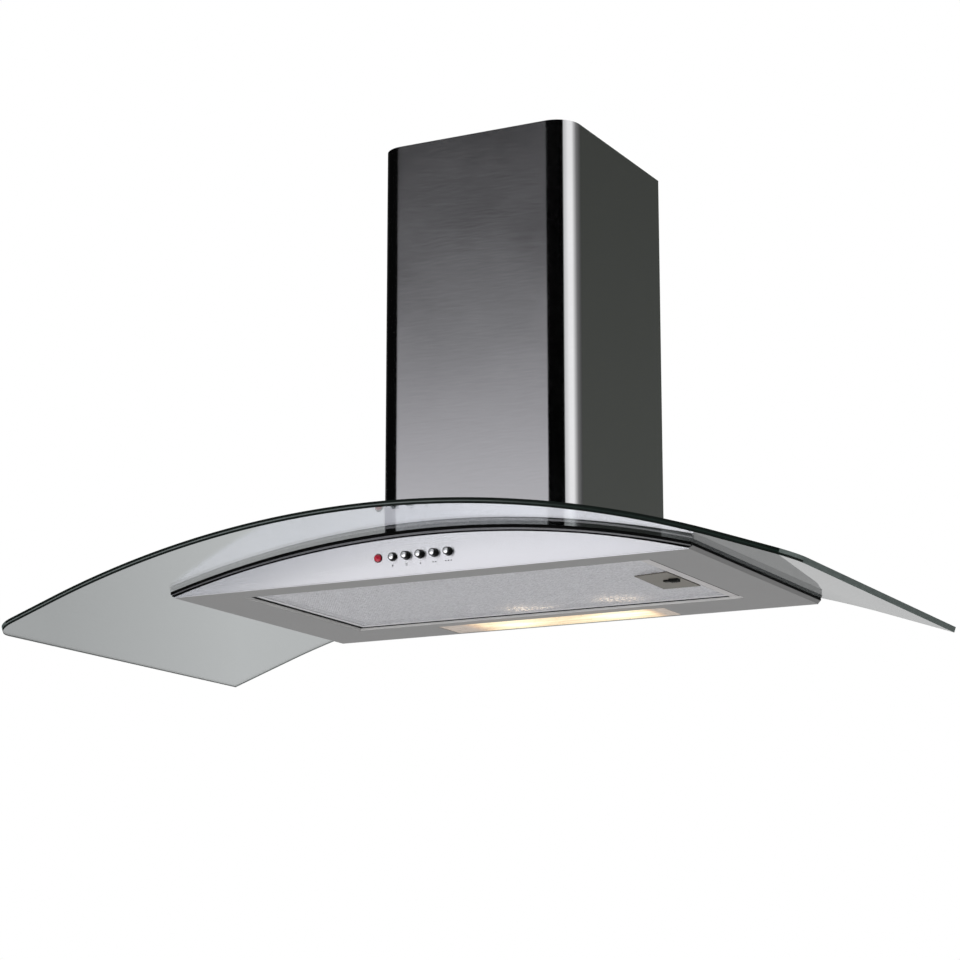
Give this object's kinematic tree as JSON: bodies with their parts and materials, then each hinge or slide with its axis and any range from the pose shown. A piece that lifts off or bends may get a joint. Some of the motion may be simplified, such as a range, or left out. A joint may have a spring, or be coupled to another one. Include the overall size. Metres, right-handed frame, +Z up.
{
  "type": "curved glass range hood",
  "caption": "Wall chimney hood: arched glass canopy on a low steel body with push buttons, mesh grease filter and lamp cover, under a telescopic steel chimney.",
  "frame": {"origin": "middle of the body's lower rear edge, on the wall plane", "axes": "+X to the viewer's right along the glass, +Y back into the wall, +Z up the chimney"},
  "size_m": [0.9, 0.468, 0.5523],
  "materials": {
    "glass": "clear toughened glass, polished edges",
    "stainless": "brushed stainless steel",
    "panel_steel": "pale satin steel",
    "galvanised": "zinc-plated sheet",
    "rubber": "black rubber",
    "nylon": "white nylon",
    "chrome": "polished chrome",
    "zinc_screw": "zinc-plated screw",
    "aluminium": "rolled aluminium profile",
    "mesh": "expanded aluminium mesh",
    "latch_taupe": "taupe moulded plastic",
    "black_plastic": "black moulded plastic",
    "red_lens": "clear red lens",
    "lamp_lens": "frosted lamp cover",
    "bulb_glass": "frosted bulb glass",
    "ceramic": "white moulded lamp holder",
    "reflector": "bright aluminium reflector",
    "scroll_plastic": "dark grey moulded plastic",
    "impeller_plastic": "grey moulded plastic",
    "motor_steel": "pressed steel motor can",
    "grey_plastic": "grey moulded plastic"
  },
  "bodies": {
    "hood": {"glass_canopy": "glass", "glass_gasket": "rubber", "glass_spacers": "nylon", "glass_screws": "chrome", "bottom_plate": "stainless", "top_cover": "stainless", "front_panel": "panel_steel", "front_trim": "stainless", "rear_panel": "galvanised", "lamp_tray": "reflector", "lamp_holder_left": "ceramic", "lamp_holder_right": "ceramic", "bulb_left": "bulb_glass", "bulb_right": "bulb_glass", "switch_block": "black_plastic", "indicator_lamp": "red_lens", "tower_wrap": "galvanised", "tower_screws": "zinc_screw", "tower_back": "galvanised", "tower_lid": "galvanised", "cable_gland": "black_plastic", "duct_collar": "black_plastic", "collar_screws": "zinc_screw", "scroll_band": "scroll_plastic", "scroll_cheek_left": "scroll_plastic", "scroll_cheek_right": "scroll_plastic", "motor": "motor_steel", "motor_bracket": "galvanised", "motor_screws": "zinc_screw", "capacitor": "grey_plastic", "capacitor_clip": "galvanised", "terminal_box": "black_plastic", "wiring": "black_plastic", "chimney_lower": "stainless", "chimney_feet": "galvanised"},
    "filter": {"filter_frame": "aluminium", "filter_mesh": "mesh", "latch_plate": "latch_taupe"},
    "latch": {"latch_slide": "black_plastic"},
    "lamp_lid": {"lamp_cover": "lamp_lens"},
    "chimney_slide": {"chimney_upper": "stainless", "ceiling_strap": "galvanised"},
    "fan": {"impeller": "impeller_plastic", "motor_shaft": "zinc_screw"},
    "front_flap": {"flap_front": "black_plastic"},
    "rear_flap": {"flap_rear": "black_plastic"},
    "light_button": {"button_light": "chrome"},
    "off_button": {"button_off": "chrome"},
    "low_button": {"button_low": "chrome"},
    "medium_button": {"button_medium": "chrome"},
    "high_button": {"button_high": "chrome"}
  },
  "joints": [
    {"name": "filter_swing", "type": "hinge", "parent": "hood", "child": "filter", "pos_m": [-0.228, 0, 0.0059], "axis": [0, 1, 0], "range_deg": [0, 80]},
    {"name": "latch_pull", "type": "slide", "parent": "filter", "child": "latch", "axis": [-1, 0, 0], "range_m": [0, 0.006], "stiffness_N_per_m": 120, "springref_m": -0.002},
    {"name": "lamp_cover_swing", "type": "hinge", "parent": "hood", "child": "lamp_lid", "pos_m": [0, -0.0537, 0.0015], "axis": [-1, 0, 0], "range_deg": [0, 85]},
    {"name": "chimney_extend", "type": "slide", "parent": "hood", "child": "chimney_slide", "axis": [0, 0, 1], "range_m": [0, 0.34]},
    {"name": "fan_spin", "type": "hinge", "parent": "hood", "child": "fan", "pos_m": [0, -0.096, 0.14997], "axis": [-1, 0, 0], "continuous": true},
    {"name": "front_flap_swing", "type": "hinge", "parent": "hood", "child": "front_flap", "pos_m": [0, -0.1185, 0.308], "axis": [-1, 0, 0], "range_deg": [0, 75]},
    {"name": "rear_flap_swing", "type": "hinge", "parent": "hood", "child": "rear_flap", "pos_m": [0, -0.1115, 0.308], "axis": [1, 0, 0], "range_deg": [0, 75]},
    {"name": "light_button_press", "type": "slide", "parent": "hood", "child": "light_button", "axis": [0, 1, 0], "range_m": [-0.0024, 0.0011]},
    {"name": "off_button_press", "type": "slide", "parent": "hood", "child": "off_button", "axis": [0, 1, 0], "range_m": [0, 0.0035], "stiffness_N_per_m": 250, "springref_m": -0.001},
    {"name": "low_button_press", "type": "slide", "parent": "hood", "child": "low_button", "axis": [0, 1, 0], "range_m": [0, 0.0035], "stiffness_N_per_m": 250, "springref_m": -0.001},
    {"name": "medium_button_press", "type": "slide", "parent": "hood", "child": "medium_button", "axis": [0, 1, 0], "range_m": [0, 0.0035], "stiffness_N_per_m": 250, "springref_m": -0.001},
    {"name": "high_button_press", "type": "slide", "parent": "hood", "child": "high_button", "axis": [0, 1, 0], "range_m": [0, 0.0035], "stiffness_N_per_m": 250, "springref_m": -0.001}
  ]
}
